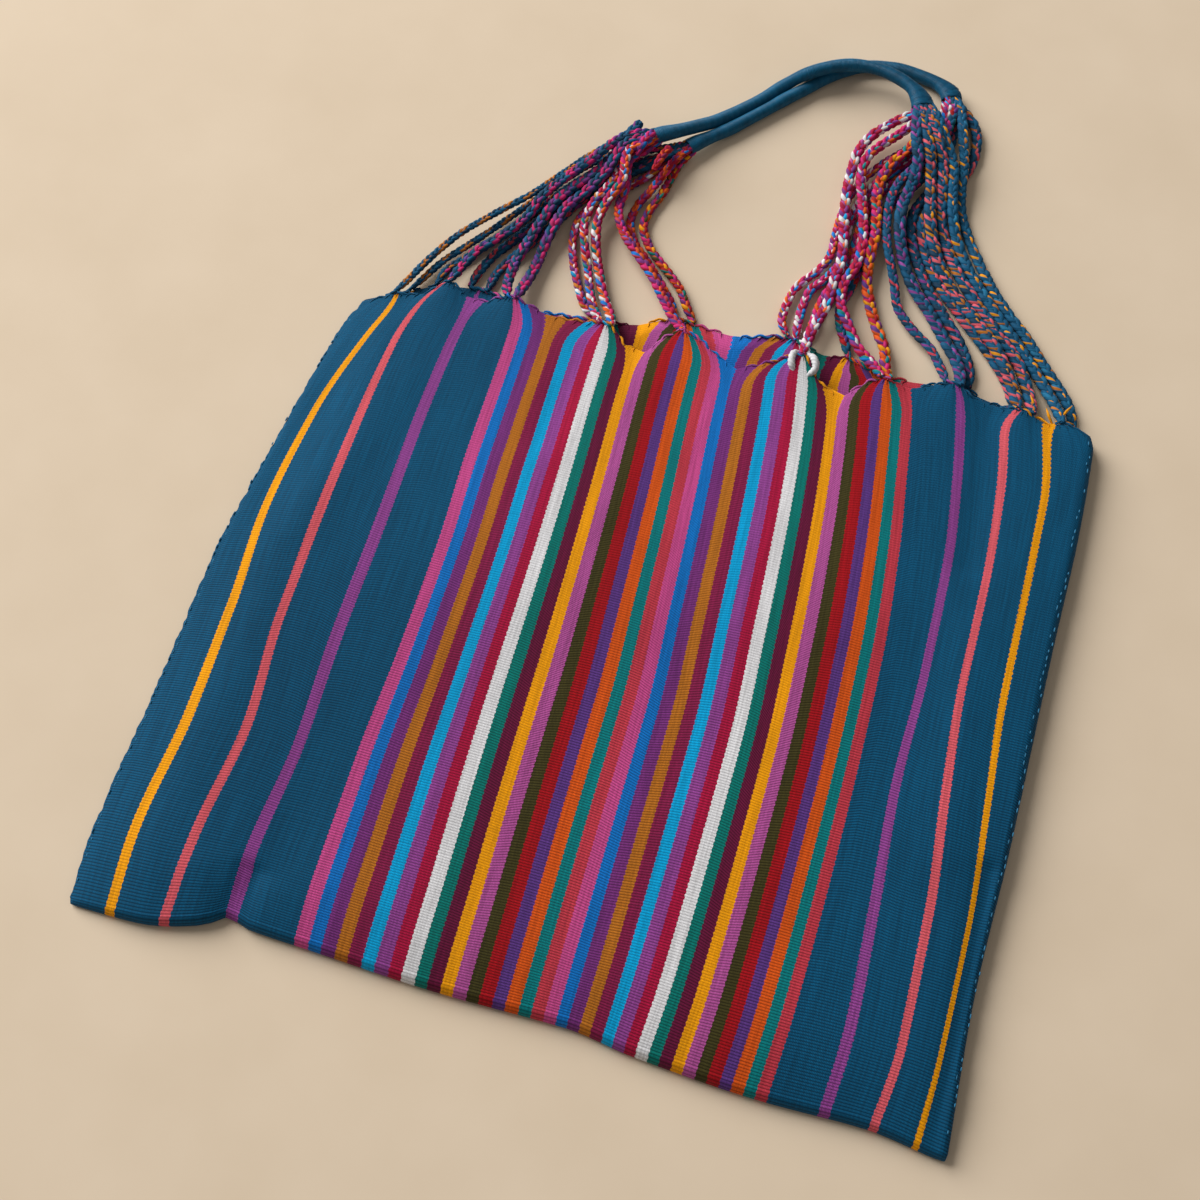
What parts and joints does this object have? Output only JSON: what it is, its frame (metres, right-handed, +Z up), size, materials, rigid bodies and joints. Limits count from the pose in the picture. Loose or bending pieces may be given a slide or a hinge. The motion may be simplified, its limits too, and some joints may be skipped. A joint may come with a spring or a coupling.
{
  "type": "hammock tote bag",
  "caption": "Handwoven striped cotton tote bag lying flat on its back, its warp ends braided and gathered into thread-wrapped rope handles.",
  "frame": {"origin": "middle of the cloth's flat underside, on the surface that the bag lies on", "axes": "+Z up from the surface, +Y from the folded bottom towards the mouth and the handles, +X to the right seen from above"},
  "size_m": [0.4367, 0.6061, 0.0185],
  "materials": {
    "woven_cotton": "matte",
    "wrapped_thread": "satin",
    "braided_yarn": "matte"
  },
  "bodies": {
    "root": {"body": "woven_cotton", "handle_front": "wrapped_thread", "handle_back": "wrapped_thread", "braid_front_a": "braided_yarn", "braid_front_b": "braided_yarn", "braid_front_c": "braided_yarn", "braid_front_d": "braided_yarn", "braid_front_e": "braided_yarn", "braid_front_f": "braided_yarn", "braid_front_g": "braided_yarn", "braid_back_a": "braided_yarn", "braid_back_b": "braided_yarn", "braid_back_c": "braided_yarn", "braid_back_d": "braided_yarn", "braid_back_e": "braided_yarn", "braid_back_f": "braided_yarn", "braid_back_g": "braided_yarn", "braid_front_h": "braided_yarn", "braid_front_i": "braided_yarn", "braid_front_j": "braided_yarn", "braid_front_k": "braided_yarn", "braid_front_l": "braided_yarn", "braid_front_m": "braided_yarn", "braid_front_n": "braided_yarn", "braid_front_o": "braided_yarn", "braid_back_h": "braided_yarn", "braid_back_i": "braided_yarn", "braid_back_j": "braided_yarn", "braid_back_k": "braided_yarn", "braid_back_l": "braided_yarn", "braid_back_n": "braided_yarn", "braid_back_m": "braided_yarn"}
  },
  "joints": []
}
